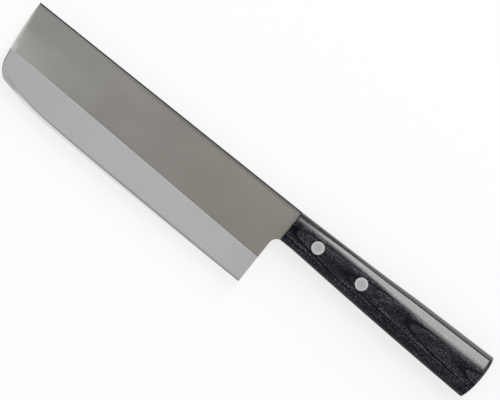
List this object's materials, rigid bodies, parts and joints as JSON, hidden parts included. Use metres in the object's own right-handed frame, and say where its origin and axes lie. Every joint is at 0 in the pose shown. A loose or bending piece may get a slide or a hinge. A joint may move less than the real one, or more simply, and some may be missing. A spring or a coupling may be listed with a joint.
{
  "type": "nakiri knife",
  "caption": "Straight vegetable knife: deep square-fronted blade with a wide bevel, short neck, and a flared dark wooden handle riveted over a half tang.",
  "frame": {"origin": "under the middle of the knife's outline, level with the underside of the handle as the knife lies on its right side", "axes": "+X from the blade's front to the handle's butt, +Y from the cutting edge to the spine, +Z out of the left side"},
  "size_m": [0.2904, 0.0502, 0.016],
  "materials": {
    "blade_steel": "satin, with a finer and brighter ground bevel",
    "handle_wood": "smooth black laminated wood, semi-gloss",
    "spacer_wood": "smooth black laminated wood, semi-gloss",
    "rivet_metal": "ground flush, satin"
  },
  "bodies": {
    "root": {"blade": "blade_steel", "left_handle_scale": "handle_wood", "right_handle_scale": "handle_wood", "tang_spacer": "spacer_wood", "front_rivet_socket": "rivet_metal", "front_rivet_stem": "rivet_metal", "rear_rivet_socket": "rivet_metal", "rear_rivet_stem": "rivet_metal"}
  },
  "joints": []
}
